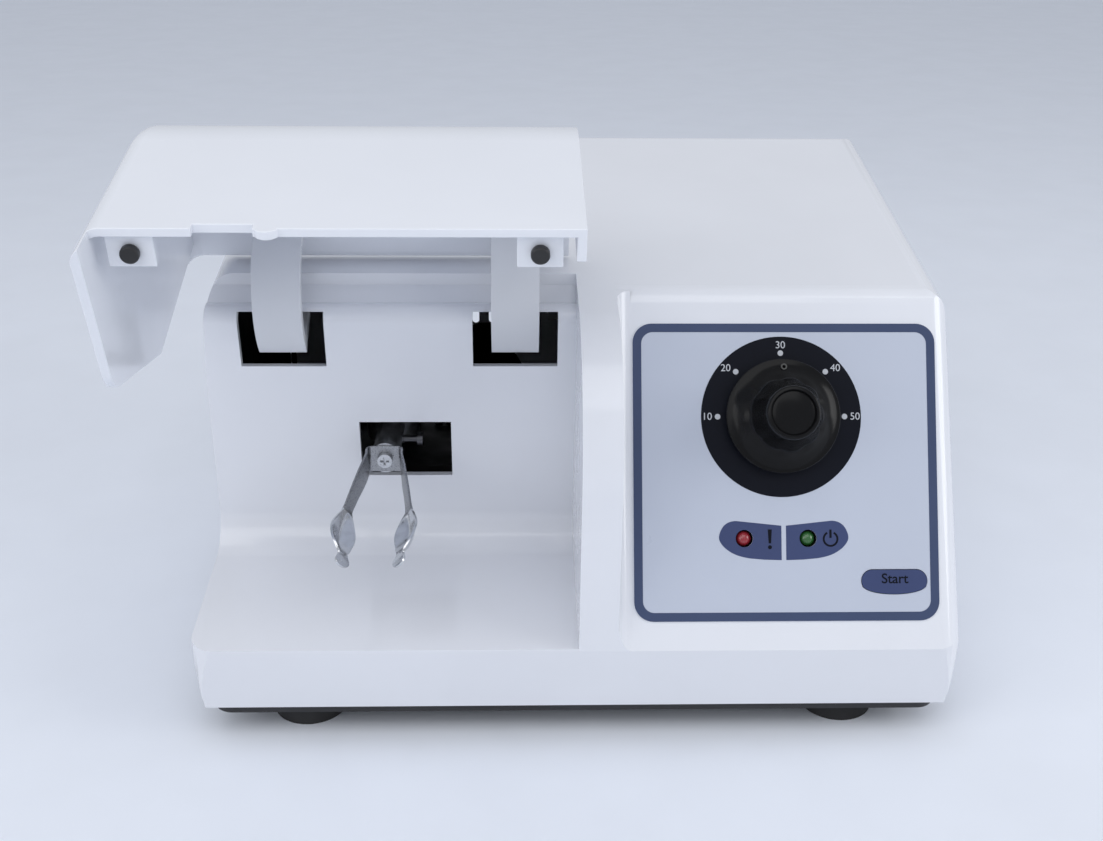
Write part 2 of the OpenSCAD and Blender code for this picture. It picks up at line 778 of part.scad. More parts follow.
module lid_bumpers() {
  h = 2.5;
  color("#131314") place() swung_open() for (x = shelf_mid)
    translate([x, lid_wall + 5, shelf_z - h]) cylinder(d = bumper_d, h = h);
}

// One gooseneck arm in the side view, closed: foot on the lid, bow round the pin, web and hub
module arm_side() {
  intersection() {
    union() {
      translate([pin_y, pin_z]) difference() {
        union() {
          difference() {
            circle(arm_r + arm_t);
            circle(arm_r);
            rotate(-60) translate([-60, 0]) square([120, 60]);
            rotate(-15) translate([-60, 0]) square([120, 60]);
          }
          rotate(-66) translate([0, -2]) square([arm_r + 1, 4]);
          circle(d = hub_d);
        }
        circle(d = hinge_pin_d + 2 * run);
      }
      difference() {
        translate([pin_y - arm_r - 8, 60]) square([8, 60]);
        rib_side(lid_wall + 2);
      }
    }
    rib_side(lid_wall);
  }
}

module lid_arms() {
  color("#dde4ee") place() swung_open() for (x = arm_centres)
    along_x(x - arm_w / 2, x + arm_w / 2) arm_side();
}

module hinge_pin() {
  color("#b9bcc0") place() translate([arm_centres[0] - 16, pin_y, pin_z]) rotate([0, 90, 0])
    cylinder(d = hinge_pin_d, h = arm_centres[1] - arm_centres[0] + 28);
}

// Puts children under the sloping top: z along the surface's normal
module under_top(x, y) {
  translate([x, y, top_at(y)]) rotate([top_slope, 0, 0]) children();
}

module hinge_brackets() {
  color("#8f949b") place() difference() {
    for (x = arm_centres) {
      for (x0 = [x - ear_out - bracket_t, x + ear_out]) along_x(x0, x0 + bracket_t) ear_side();
      under_top(x, pad_y) translate([-ear_out - 0.5, -8, -pad_drop - bracket_t])
        cube([2 * ear_out + 1, 16, bracket_t]);
    }
    for (x = arm_centres) {
      translate([x - 20, pin_y, pin_z]) rotate([0, 90, 0]) cylinder(d = hinge_pin_d + 2 * run, h = 40);
      under_top(x, pad_y) translate([0, 0, -20]) cylinder(d = 3.4, h = 20);
    }
  }
}

module ear_side() {
  pin = [pin_y, pin_z];
  low = top_at(pad_y) - pad_drop - bracket_t;
  translate(pin) circle(d = hub_d);
  polygon([pin - [0, hub_d / 2], [pad_y - 4, low - ear_l], [pad_y + 7, low - ear_l], [pad_y + 7, low + 1],
    [pad_y - 7, low - 1], pin + [0, hub_d / 2]]);
}

module hinge_screws() {
  color("#9a9da3") place() for (x = arm_centres)
    under_top(x, pad_y) translate([0, 0, -pad_drop - bracket_t]) pan_screw(3, bracket_t + 5.5, 5.6, 2);
}

module lid_switch() {
  color("#202226") place() translate([arm_centres[1] + ear_out + bracket_t, pad_y - 12, pin_z - ear_l])
    difference() {
      cube([6, 20, 10]);
      for (y = [5, 15]) translate([-1, y, 2.5]) rotate([0, 90, 0]) cylinder(d = 2.4, h = 8);
    }
}

// Motor, standing upright behind the chamber with its shaft up
module motor_can() {
  color("#7d8288") place() translate([arm_x, motor_y, mount_z - motor_h]) difference() {
    union() {
      cylinder(d = motor_d, h = motor_h);
      translate([0, 0, motor_h]) cylinder(d = 14, h = mount_t);
    }
    translate([0, 0, 2]) cylinder(d = motor_d - 3, h = motor_h - 4);
    translate([0, 0, 0.8]) cylinder(d = shaft_d + 2 * run, h = motor_h + 10);
    for (a = [0, 180]) rotate(a) translate([16, 0, motor_h - 3]) cylinder(d = 4 + 2 * run, h = 4);
  }
}

module motor_magnets() {
  color("#3a3c40") place() translate([arm_x, motor_y, mount_z - motor_h + 6]) difference() {
    cylinder(d = motor_d - 3 - play, h = motor_h - 12);
    translate([0, 0, -1]) cylinder(d = motor_d - 10, h = motor_h);
    translate([-4, -50, -1]) cube([8, 100, 60]);
  }
}

module motor_rotor() {
  color("#a77a48") place() translate([arm_x, motor_y, mount_z - motor_h]) {
    translate([0, 0, 8]) cylinder(d = motor_d - 12, h = motor_h - 16);
    translate([0, 0, 1]) cylinder(d = shaft_d, h = motor_h + mount_t + 6);
  }
}

module mount_spots() {
  for (i = [-1, 1]) for (y = [motor_y - 14, motor_y + 14])
    translate([arm_x + i * (motor_d / 2 + 12), y, z_low]) children();
}

module motor_mount() {
  w = motor_d + 8;
  y0 = pivot_y - 8;
  y1 = motor_y + 22;
  color("#a9adb3") place() difference() {
    union() {
      translate([arm_x - w / 2, y0, mount_z]) cube([w, y1 - y0, mount_t]);
      for (i = [-1, 1]) {
        translate([arm_x + i * (w / 2 - 1) - 1, motor_y - 22, z_low]) cube([2, 44, mount_z - z_low + 1]);
        translate([arm_x + i * (w / 2 + 7) - 8, motor_y - 22, z_low]) cube([16, 44, 2]);
      }
    }
    translate([arm_x, motor_y, mount_z - 1]) cylinder(d = 14 + 2 * play, h = mount_t + 2);
    for (i = [-1, 1]) translate([arm_x + 16 * i, motor_y, mount_z - 1]) cylinder(d = 4.4, h = mount_t + 2);
    mount_spots() translate([0, 0, -1]) cylinder(d = 4.4, h = 4);
    translate([arm_x, pivot_y, mount_z - 1]) cylinder(d = pivot_d + 2 * run, h = mount_t + 2);
  }
}

module motor_screws() {
  color("#9a9da3") place() for (i = [-1, 1]) translate([arm_x + 16 * i, motor_y, mount_z + mount_t])
    mirror([0, 0, 1]) pan_screw(4, mount_t + 2.5, 7, 2.4);
}

module mount_screws() {
  color("#9a9da3") place() mount_spots() translate([0, 0, 2]) mirror([0, 0, 1])
    pan_screw(4, 2 + plate_t, 7, 2.4);
}

// The eccentric stands at the middle of its stroke, its crank pin towards the back
module eccentric() {
  z0 = mount_z + mount_t + 1;
  color("#b5b8bd") place() translate([arm_x, motor_y, 0]) difference() {
    union() {
      translate([0, 0, z0]) cylinder(d = 15, h = hub_z - 1 - z0);
      translate([0, throw, z0]) cylinder(d = 6.5, h = arm_z - 2 - z0);
      translate([0, throw, z0]) cylinder(d = 5, h = arm_z + 5 - z0);
    }
    translate([0, 0, z0 - 1]) cylinder(d = shaft_d + 2 * run, h = 7.5);
  }
}

module eccentric_bearing() {
  color("#c9ccd0") place() translate([arm_x, motor_y + throw, arm_z - 2]) {
    ring(bearing_d, bearing_d - 1.6, 4);
    ring(6.6, 5 + 2 * run, 4);
    ball = (bearing_d - 1.6 - 6.6) / 2;
    for (a = [0:45:315]) rotate(a) translate([(bearing_d - 1.6 + 6.6) / 4, 0, 2])
      sphere(d = ball - 0.05, $fn = 24);
  }
}

module ring(outer, inner, h) {
  difference() {
    cylinder(d = outer, h = h);
    translate([0, 0, -1]) cylinder(d = inner, h = h + 2);
  }
}

module bearing_clip() {
  color("#4d5055") place() translate([arm_x, motor_y + throw, arm_z + 2]) ring(9, 5 + 2 * run, 1);
}

module shaking_arm() {
  color("#aeb2b8") place() translate([arm_x, pivot_y, 0]) difference() {
    union() {
      translate([0, 0, hub_z]) cylinder(d = 18, h = hub_h);
      translate([0, 0, arm_z]) rotate([90, 0, 0])
        cylinder(d = arm_d, h = pivot_y - clip_y - clip_t - washer_t);
      translate([-5, 0, arm_z - 4]) cube([10, tail_l - yoke_r - 1, 8]);
      translate([0, tail_l, arm_z - 4]) cylinder(r = yoke_r + 4, h = 8);
    }
    translate([0, tail_l, arm_z - 5]) cylinder(r = yoke_r, h = 10);
    translate([0, 0, hub_z - 1]) cylinder(d = bush_d + 2 * run, h = hub_h + 2);
    translate([0, 0, arm_z]) rotate([90, 0, 0]) translate([0, 0, 21]) cylinder(d = 3 + 2 * run, h = 40);
    translate([-1, clamp_y - pivot_y, arm_z]) rotate([0, 90, 0]) cylinder(d = 2.5 + 2 * run, h = 12);
  }
}

module arm_bushes() {
  color("#b08d4f") place() translate([arm_x, pivot_y, 0]) for (z = [hub_z - 0.8, arm_z + 0.4]) {
    translate([0, 0, z]) ring(bush_d, pivot_d + 2 * run, hub_h / 2 + 0.4);
  }
}

module pivot_pin() {
  color("#c4c7cb") place() translate([arm_x, pivot_y, mount_z]) {
    cylinder(d = pivot_d, h = hub_z + hub_h + 4 - mount_z);
    translate([0, 0, mount_t]) cylinder(d = 11, h = hub_z - 1.1 - mount_z - mount_t);
  }
}

module pivot_clip() {
  color("#4d5055") place() translate([arm_x, pivot_y, hub_z + hub_h + 1.2]) ring(12, pivot_d + 2 * run, 1.2);
}

module clamp_screw() {
  color("#c3c6ca") place() translate([arm_x + arm_d / 2 + 5, clamp_y, arm_z]) rotate([0, -90, 0])
    pan_screw(2.5, 9, 4.6, 1.8);
}

module clip_washer() {
  color("#c8cbce") place() translate([arm_x, clip_y + clip_t, arm_z]) rotate([-90, 0, 0])
    ring(10.4, 3 + 2 * run, washer_t);
}

// The capsule clip: a base on the arm's end and two legs that carry leaf-shaped cups
module capsule_clip() {
  color("#aab0ba") place() translate([arm_x, clip_y, arm_z]) {
    difference() {
      translate([-clip_w / 2, 0, -clip_h / 2]) cube([clip_w, clip_t, clip_h]);
      rotate([-90, 0, 0]) translate([0, 0, -1]) cylinder(d = 3 + 2 * run, h = 4);
    }
    for (side = [-1, 1]) scale_x(side) translate([clip_w / 2 - clip_t, -3, -clip_h / 2])
      cube([clip_t, 3 + clip_t, clip_h]);
    for (side = [-1, 1]) scale_x(side) rotate([leg_fall, 0, 0]) {
      translate([0, 0, -3.5]) linear_extrude(6.5) leg_plan();
      translate([cup_span / 2 + cup_d / 2 - cup_r, -leg_l - cup_l / 2 + 3, 0]) cup();
    }
  }
}

module scale_x(side) {
  if (side < 0) mirror([1, 0, 0]) children();
  else children();
}

module leg_plan() {
  a = [clip_w / 2 - clip_t, -1];
  seat = sqrt(cup_r * cup_r - pow(cup_l / 2 - 3, 2));
  b = [cup_span / 2 + cup_d / 2 - cup_r + seat - 0.75 * clip_t, -leg_l + 4];
  polygon([a, b, b - [0, 4], b + [clip_t, -4], b + [clip_t, 0], a + [clip_t, 0]]);
}

module cup() {
  intersection() {
    difference() {
      sphere(cup_r);
      sphere(cup_r - clip_t);
    }
    rotate([0, 90, 0]) linear_extrude(cup_r + 1) leaf();
  }
}

module leaf() {
  r = (cup_l * cup_l / 4 + cup_w * cup_w / 4) / cup_w;
  intersection() {
    translate([r - cup_w / 2, 0]) circle(r);
    translate([cup_w / 2 - r, 0]) circle(r);
  }
}

module clip_screw() {
  color("#d2d4d7") place() translate([arm_x, clip_y, arm_z]) rotate([-90, 0, 0]) pan_screw(3, 12, 4.8, 1.9);
}

// Rear fittings
module power_inlet() {
  color("#1a1a1c") place() translate([inlet_x, back_y, inlet_z]) rotate([-90, 0, 0]) difference() {
    union() {
      linear_extrude(3) rounded_rect(50, 24, 4);
      translate([0, 0, -22]) linear_extrude(23) square(inlet_hole, center = true);
    }
    translate([0, 0, -16]) linear_extrude(30) square([24, 16.4], center = true);
    for (i = [-1, 1]) translate([20 * i, 0, -1]) cylinder(d = 3.4, h = 6);
    pin_spots() translate([0, 0, -3]) cube([2 + 2 * run, 4 + 2 * run, 60], center = true);
  }
}

module pin_spots() {
  for (p = [[-7, 1.5], [7, 1.5], [0, -2.5]]) translate([p[0], p[1], 0]) children();
}

module inlet_pins() {
  color("#c9b36a") place() translate([inlet_x, back_y, inlet_z]) rotate([-90, 0, 0])
    pin_spots() translate([0, 0, -16]) cube([2, 4, 26], center = true);
}

module inlet_screws() {
  color("#9a9da3") place() for (i = [-1, 1]) translate([inlet_x + 20 * i, back_y + 3, inlet_z])
    rotate([90, 0, 0]) pan_screw(3, 3 + wall + 3, 5, rear_out - 3);
}

module power_switch() {
  color("#1a1a1c") place() translate([switch_x, back_y, inlet_z]) rotate([-90, 0, 0]) difference() {
    union() {
      linear_extrude(2) square(switch_hole + [2, 2], center = true);
      translate([0, 0, -16]) linear_extrude(17) square(switch_hole, center = true);
    }
    translate([0, 0, -9]) linear_extrude(20) square(switch_hole - [3, 3], center = true);
    translate([0, 0, -rocker_back]) rotate([90, 0, 0])
      cylinder(d = trunnion_d + 2 * run, h = trunnion_l + 2 * play, center = true);
  }
}

module rocker_side() {
  intersection() {
    translate([-6.8, -5]) square([13.6, 9.2]);
    translate([0, -2]) circle(r = 7.2);
  }
}

module power_rocker() {
  color("#a02020") place() translate([switch_x, back_y - rocker_back, inlet_z]) rotate([0, 0, rocker_tilt]) {
    translate([0, 0, -rocker_w / 2]) linear_extrude(rocker_w) rocker_side();
    cylinder(d = trunnion_d, h = trunnion_l, center = true);
  }
}

module fuse_holder() {
  color("#1a1a1c") place() translate([fuse_x, back_y, inlet_z]) rotate([-90, 0, 0]) difference() {
    union() {
      cylinder(d = 16, h = 1.8);
      translate([0, 0, -24]) cylinder(d = fuse_d, h = 25);
    }
    translate([0, 0, -20]) cylinder(d = 8 + 2 * run, h = 30);
  }
}

module fuse_cap() {
  color("#2a2a2e") place() translate([fuse_x, back_y, inlet_z]) rotate([-90, 0, 0]) {
    translate([0, 0, -8]) cylinder(d = 8, h = 10);
    translate([0, 0, 1.8]) cylinder(d = 12, h = 2.2);
  }
}

housing();
base_plate();
rubber_feet();
base_screws();
control_label();
timer_knob();
knob_set_screw();
potentiometer();
potentiometer_shaft();
potentiometer_nut();
red_lamp();
green_lamp();
start_key();
start_switch();
control_board();
board_screws();
relay();
capacitors();
transformer();
transformer_screws();
lid_cover();
lid_arms();
lid_bumpers();
hinge_pin();
hinge_brackets();
hinge_screws();
lid_switch();
motor_can();
motor_magnets();
motor_rotor();
motor_mount();
motor_screws();
mount_screws();
eccentric();
eccentric_bearing();
bearing_clip();
shaking_arm();
arm_bushes();
pivot_pin();
pivot_clip();
clamp_screw();
clip_washer();
capsule_clip();
clip_screw();
power_inlet();
inlet_pins();
inlet_screws();
power_switch();
power_rocker();
fuse_holder();
fuse_cap();
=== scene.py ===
import json
import math

import bmesh
import bpy
from mathutils import Matrix, Vector
from mathutils.bvhtree import BVHTree


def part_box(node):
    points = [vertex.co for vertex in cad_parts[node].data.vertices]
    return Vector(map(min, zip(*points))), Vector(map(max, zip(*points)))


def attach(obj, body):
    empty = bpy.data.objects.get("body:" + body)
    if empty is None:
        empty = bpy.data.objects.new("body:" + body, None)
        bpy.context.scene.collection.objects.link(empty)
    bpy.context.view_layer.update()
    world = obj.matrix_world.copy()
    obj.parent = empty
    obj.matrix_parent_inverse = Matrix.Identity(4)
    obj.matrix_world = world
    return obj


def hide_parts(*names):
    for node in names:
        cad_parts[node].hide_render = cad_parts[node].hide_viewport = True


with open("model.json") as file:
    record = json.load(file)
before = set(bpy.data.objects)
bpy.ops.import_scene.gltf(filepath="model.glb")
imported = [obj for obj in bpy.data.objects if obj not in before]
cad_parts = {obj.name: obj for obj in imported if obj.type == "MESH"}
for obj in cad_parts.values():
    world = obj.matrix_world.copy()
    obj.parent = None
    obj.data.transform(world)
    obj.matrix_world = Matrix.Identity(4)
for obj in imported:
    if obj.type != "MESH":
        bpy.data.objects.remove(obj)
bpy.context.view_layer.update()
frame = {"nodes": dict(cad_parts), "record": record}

# Camera
# The photographer stood a little left of the middle and looked down on the lid. The place
# is given from the belt line, where the skirt meets the front, midway across the housing.
mm = 0.001
shell_low, shell_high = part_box("housing")
skirt_h = 22 * mm
belt = Vector(((shell_low[0] + shell_high[0]) / 2, shell_low[1], shell_low[2] + skirt_h))
photo_w = 1103
focal_px = 1350
camera_at = belt + Vector((-19.8, -351.1, 233.3)) * mm
pitch = math.radians(23.87)
yaw = math.radians(1.72)
roll = math.radians(0.61)
ahead = Vector((math.sin(yaw) * math.cos(pitch), math.cos(yaw) * math.cos(pitch), -math.sin(pitch)))
level = Vector((math.cos(yaw), -math.sin(yaw), 0))
upward = level.cross(ahead)
right = level * math.cos(roll) + upward * math.sin(roll)
top = upward * math.cos(roll) - level * math.sin(roll)


def linked(name, data):
    """A new object in the scene's collection."""
    item = bpy.data.objects.new(name, data)
    bpy.context.scene.collection.objects.link(item)
    return item


camera_data = bpy.data.cameras.new("camera")
camera_data.sensor_width = 36
camera_data.lens = focal_px / photo_w * camera_data.sensor_width
camera_data.clip_start = 0.01
camera = linked("camera", camera_data)
camera.matrix_world = Matrix.Translation(camera_at) @ Matrix((right, top, -ahead)).transposed().to_4x4()
bpy.context.scene.camera = camera


# Housing
# One glossy white moulding, with the chamber at the left and the sloping panel at the right. The mould
# rounds its edges softly, those of its three windows less, and its inside faces get a near-black painted
# shade.
def new_material(name, colour, roughness, metallic=0.0):
    """A plain material and its shader, to which the makers below add their marks."""
    material = bpy.data.materials.new(name)
    material.use_nodes = True
    material.diffuse_color = (*colour, 1)
    shader = material.node_tree.nodes["Principled BSDF"]
    shader.inputs["Metallic"].default_value = metallic
    shader.inputs["Base Color"].default_value = (*colour, 1)
    shader.inputs["Roughness"].default_value = roughness
    return material, shader


def object_noise(material, scale, detail=3, stretch=(1, 1, 1)):
    """A noise fixed to the object, finer with a larger scale."""
    nodes, links = material.node_tree.nodes, material.node_tree.links
    place = nodes.new("ShaderNodeTexCoord")
    fit = nodes.new("ShaderNodeMapping")
    fit.inputs["Scale"].default_value = stretch
    noise = nodes.new("ShaderNodeTexNoise")
    noise.inputs["Scale"].default_value = scale
    noise.inputs["Detail"].default_value = detail
    links.new(place.outputs["Object"], fit.inputs["Vector"])
    links.new(fit.outputs["Vector"], noise.inputs["Vector"])
    return noise.outputs["Fac"]


def spread(material, factor, low, high):
    """Maps the middle of a noise onto a range of numbers."""
    noise_low, noise_high = 0.3, 0.7
    nodes, links = material.node_tree.nodes, material.node_tree.links
    span = nodes.new("ShaderNodeMapRange")
    span.inputs["From Min"].default_value = noise_low
    span.inputs["From Max"].default_value = noise_high
    span.inputs["To Min"].default_value = low
    span.inputs["To Max"].default_value = high
    links.new(factor, span.inputs["Value"])
    return span.outputs["Result"]


def tint(material, shader, factor, colour, drift):
    """Lets the colour drift a share darker and lighter with a noise."""
    nodes, links = material.node_tree.nodes, material.node_tree.links
    ramp = nodes.new("ShaderNodeValToRGB")
    dark, light = ramp.color_ramp.elements
    dark.position = 0.35
    light.position = 0.65
    dark.color = (*[c * (1 - drift) for c in colour], 1)
    light.color = (*[min(1, c * (1 + drift)) for c in colour], 1)
    links.new(factor, ramp.inputs["Fac"])
    links.new(ramp.outputs["Color"], shader.inputs["Base Color"])


def raise_grain(material, shader, factor, distance, strength=0.3):
    """A very fine relief from a noise, over the real shape."""
    nodes, links = material.node_tree.nodes, material.node_tree.links
    bump = nodes.new("ShaderNodeBump")
    bump.inputs["Distance"].default_value = distance
    bump.inputs["Strength"].default_value = strength
    links.new(factor, bump.inputs["Height"])
    links.new(bump.outputs["Normal"], shader.inputs["Normal"])


def moulded(name, colour, roughness, coat=0.0, drift=0.03, grain=0.02 * mm, grain_scale=900, shine=0.5):
    """Moulded plastic: slow drift of tone, faint haze in the gloss and a very fine skin."""
    tone_scale, haze_scale = 22, 60
    material, shader = new_material(name, colour, roughness)
    shader.inputs["Specular IOR Level"].default_value = shine
    shader.inputs["Coat Weight"].default_value = coat
    shader.inputs["Coat Roughness"].default_value = 0.06
    tint(material, shader, object_noise(material, tone_scale), colour, drift)
    haze = spread(material, object_noise(material, haze_scale, 5), roughness * 0.8, roughness * 1.25)
    material.node_tree.links.new(haze, shader.inputs["Roughness"])
    raise_grain(material, shader, object_noise(material, grain_scale, 2), grain)
    return material


def body_of(node):
    """The CAD body that a node moves with."""
    for name, members in frame["record"]["behaviour"]["bodies"].items():
        if node in members:
            return name


def read_mesh(item):
    """The mesh of an object, as its modifiers or its curve make it."""
    return bpy.data.meshes.new_from_object(item.evaluated_get(bpy.context.evaluated_depsgraph_get()))


def add_piece(name, mesh, material, node=None, body=None, stands_for=()):
    """Adds a mesh to the object: it rides on a body and may stand for CAD nodes."""
    if len(mesh.materials) == 0:
        mesh.materials.append(material)
    mesh.materials[0] = material
    piece = linked(name, mesh)
    if stands_for:
        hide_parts(*stands_for)
    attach(piece, body or body_of(node))
    return piece


def smooth_by_angle(mesh, degrees):
    """Shades a mesh smooth, with sharp edges where it turns by more than an angle."""
    mesh.shade_smooth()
    build = bmesh.new()
    build.from_mesh(mesh)
    for edge in build.edges:
        edge.smooth = len(edge.link_faces) == 2 and edge.calc_face_angle() < math.radians(degrees)
    build.to_mesh(mesh)
    build.free()


def rounded_copy(node, width, weight_of, segments=3, then=None):
    """A copy of a CAD node's mesh whose outer edges are rounded by width times their weight."""
    weld, look_out = 0.002 * mm, 0.3 * mm
    flat, curved, creased = 1, 24, 34
    mesh = frame["nodes"][node].data.copy()
    build = bmesh.new()
    build.from_mesh(mesh)
    bmesh.ops.remove_doubles(build, verts=build.verts, dist=weld)
    bmesh.ops.dissolve_limit(build, angle_limit=math.radians(flat), verts=build.verts, edges=build.edges)
    build.normal_update()
    tree = BVHTree.FromBMesh(build)
    layer = build.edges.layers.float.new("bevel_weight_edge")
    for edge in build.edges:
        edge.smooth = len(edge.link_faces) == 2 and edge.calc_face_angle() < math.radians(curved)
        if len(edge.link_faces) != 2 or edge.smooth:
            continue
        outward = (edge.link_faces[0].normal + edge.link_faces[1].normal).normalized()
        middle = (edge.verts[0].co + edge.verts[1].co) / 2
        convex = edge.calc_face_angle_signed() > 0
        seen = not convex or tree.ray_cast(middle + outward * look_out, outward)[0] is None
        edge[layer] = weight_of(middle - belt, edge, convex) if seen else 0
    for face in build.faces:
        face.smooth = True
    build.to_mesh(mesh)
    build.free()
    piece = linked("rounding", mesh)
    bevel = piece.modifiers.new("edges", "BEVEL")
    bevel.limit_method = "WEIGHT"
    bevel.width = width
    bevel.segments = segments
    bevel.use_clamp_overlap = True
    soft = read_mesh(piece)
    if then:
        then(soft)
    smooth_by_angle(soft, creased)
    piece.modifiers.clear()
    piece.data = soft
    flats = piece.modifiers.new("flats", "WEIGHTED_NORMAL")
    flats.keep_sharp = True
    flats.weight = 100
    result = read_mesh(piece)
    bpy.data.objects.remove(piece)
    result.name = node
    return result


def at_windows(at, front, rear):
    """Whether a place, seen from the belt line, lies in the windows' zone between two depths in mm."""
    x, y, z = at / mm
    return -108 < x < -4 and 32 < z < 93 and front < y < rear


def housing_edge(at, edge, convex):
    """How much of the full rounding an edge gets: little at windows, rear and floor, half at the belt."""
    rear, floor_line, belt_half = 186, -21, 1.5
    x, y, z = at / mm
    if not convex:
        return 0
    if at_windows(at, 48, 62):
        return 0.28
    if y > rear or z < floor_line:
        return 0.15
    if abs(z) < belt_half and y < 2:
        return 0.5
    return 1.0


def mark_inside(mesh):
    """Faces that look at another wall of the housing lie inside it and get the painted shade; the windows'
    edges don't count.
    """
    off_face, nearest_wall, window_edge = 0.05 * mm, 2.5 * mm, 160 * mm * mm
    build = bmesh.new()
    build.from_mesh(mesh)
    tree = BVHTree.FromBMesh(build)
    for face in build.faces:
        at = face.calc_center_median()
        window = at_windows(at - belt, 47, 60) and face.calc_area() < window_edge
        far = tree.ray_cast(at + face.normal * off_face, face.normal)[3]
        if not window and far is not None and far > nearest_wall:
            face.material_index = 1
    build.to_mesh(mesh)
    build.free()


shell_white = moulded("shell_white", (0.76, 0.775, 0.82), 0.16, coat=0.35, drift=0.012,
                      grain=0.004 * mm, grain_scale=500)
# A near-black painted shade on the housing's inside faces, where the inside lies in shade behind the
# windows.
inside_painted_shade = moulded("inside_painted_shade", (0.006, 0.006, 0.0065), 0.8, drift=0.3, shine=0.1)
shell = rounded_copy("housing", 1.8 * mm, housing_edge)
mark_inside(shell)
add_piece("housing_shell", shell, shell_white, node="housing", stands_for=["housing"])
shell.materials.append(inside_painted_shade)


# Base plate, feet and screws
# A black painted steel plate closes the housing from below, and four screws hold it
# and the rubber feet to bosses in the housing. The other screws share their steel.
def metal(name, colour, roughness, scratch=(1, 1, 1), scale=260, drift=0.12):
    """Bare or plated metal with fine marks stretched along one direction."""
    material, shader = new_material(name, colour, roughness, metallic=1.0)
    marks = object_noise(material, scale, 4, scratch)
    tint(material, shader, marks, colour, drift)
    polish = spread(material, marks, roughness * 0.7, min(1, roughness * 1.4))
    material.node_tree.links.new(polish, shader.inputs["Roughness"])
    raise_grain(material, shader, marks, 0.02 * mm, 0.2)
    return material


def dress(material, *nodes):
    """Gives CAD nodes their finish."""
    for node in nodes:
        mesh = frame["nodes"][node].data
        mesh.materials.clear()
        mesh.materials.append(material)


base_black = moulded("base_black", (0.018, 0.018, 0.02), 0.45, drift=0.2, grain=0.05 * mm)
foot_rubber = moulded("foot_rubber", (0.022, 0.022, 0.023), 0.75, drift=0.25, grain=0.08 * mm)
screw_steel = metal("screw_steel", (0.56, 0.57, 0.59), 0.3)
dress(base_black, "base_plate")
dress(foot_rubber, "rubber_feet")
dress(screw_steel, "base_screws", "mount_screws", "motor_screws", "hinge_screws", "board_screws",
      "transformer_screws", "inlet_screws", "knob_set_screw", "clip_washer", "clip_screw")


# Motor and linkage
# The motor stands on a steel bridge, and its eccentric drives the yoke of the alloy shaking arm, which
# swings on a pin in two brass bushes. The hinge, the timer's shaft and the inlet share these metals.
plated_steel = metal("plated_steel", (0.6, 0.61, 0.62), 0.38, scratch=(1, 1, 6))
bright_steel = metal("bright_steel", (0.7, 0.71, 0.73), 0.16, scratch=(1, 1, 8), drift=0.05)
brass_part = metal("brass_part", (0.72, 0.55, 0.26), 0.25, drift=0.08)
spring_dark = metal("spring_dark", (0.13, 0.13, 0.14), 0.4)
arm_alloy = metal("arm_alloy", (0.5, 0.51, 0.53), 0.42, scale=500)
winding_copper = metal("winding_copper", (0.68, 0.32, 0.16), 0.35, scratch=(1, 1, 40))
magnet_dark = moulded("magnet_dark", (0.05, 0.05, 0.055), 0.6, drift=0.2)
# Near-black steel on the motor and its bridge: a painted shade for the dark inside of the housing.
motor_steel_painted_shade = metal("motor_steel_painted_shade", (0.06, 0.06, 0.062), 0.5, scale=120)
dress(plated_steel, "hinge_brackets", "potentiometer")
dress(motor_steel_painted_shade, "motor_can", "motor_mount")
dress(bright_steel, "eccentric", "eccentric_bearing", "pivot_pin", "hinge_pin", "potentiometer_shaft")
dress(brass_part, "arm_bushes", "potentiometer_nut", "inlet_pins")
dress(spring_dark, "bearing_clip", "pivot_clip", "clamp_screw")
dress(magnet_dark, "motor_magnets")
dress(winding_copper, "motor_rotor")
dress(arm_alloy, "shaking_arm")


# Electrics inside
# The timer board hangs behind the panel with its relay and capacitors, and the transformer
# stands on the base plate. Switches, the mains inlet and the fuse holder are black mouldings.
board_green = moulded("board_green", (0.03, 0.2, 0.09), 0.35, coat=0.3, drift=0.2)
relay_blue = moulded("relay_blue", (0.05, 0.17, 0.42), 0.35, drift=0.08)
cap_sleeve = moulded("cap_sleeve", (0.03, 0.035, 0.06), 0.25, coat=0.4, drift=0.1)
core_steel = moulded("core_steel", (0.2, 0.19, 0.18), 0.5, drift=0.3, grain=0.1 * mm, grain_scale=300)
switch_black = moulded("switch_black", (0.025, 0.025, 0.028), 0.42, drift=0.15)
dress(board_green, "control_board")
dress(relay_blue, "relay")
dress(cap_sleeve, "capacitors")
dress(core_steel, "transformer")
dress(switch_black, "start_switch", "lid_switch", "power_switch", "power_inlet", "fuse_holder", "fuse_cap")


# Lid
# A thin white shell with one end wall, swung up on its gooseneck arms. The arms end in
# hubs on the hinge pin, and rubber bumpers under two small shelves soften the closing.
lid_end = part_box("lid_cover")[0][0]


def is_end_corner(edge):
    """The edge between the cover's top or back, which span the lid, and the outside of the end wall."""
    at_end, across_lid, to_the_left, downward = 0.1 * mm, 60 * mm, -0.9, -0.25
    if len(edge.link_faces) != 2 or edge.verts[0].co[0] > lid_end + at_end:
        return False
    wall, cover = sorted(edge.link_faces, key=lambda face: face.normal[0])
    span = max(v.co[0] for v in cover.verts) - min(v.co[0] for v in cover.verts)
    return wall.normal[0] < to_the_left and span > across_lid and cover.normal[2] > downward


def lid_edge(at, edge, convex):
    return 1.0 if convex and not is_end_corner(edge) else 0


def outer_edge(at, edge, convex):
    return 1.0 if convex else 0


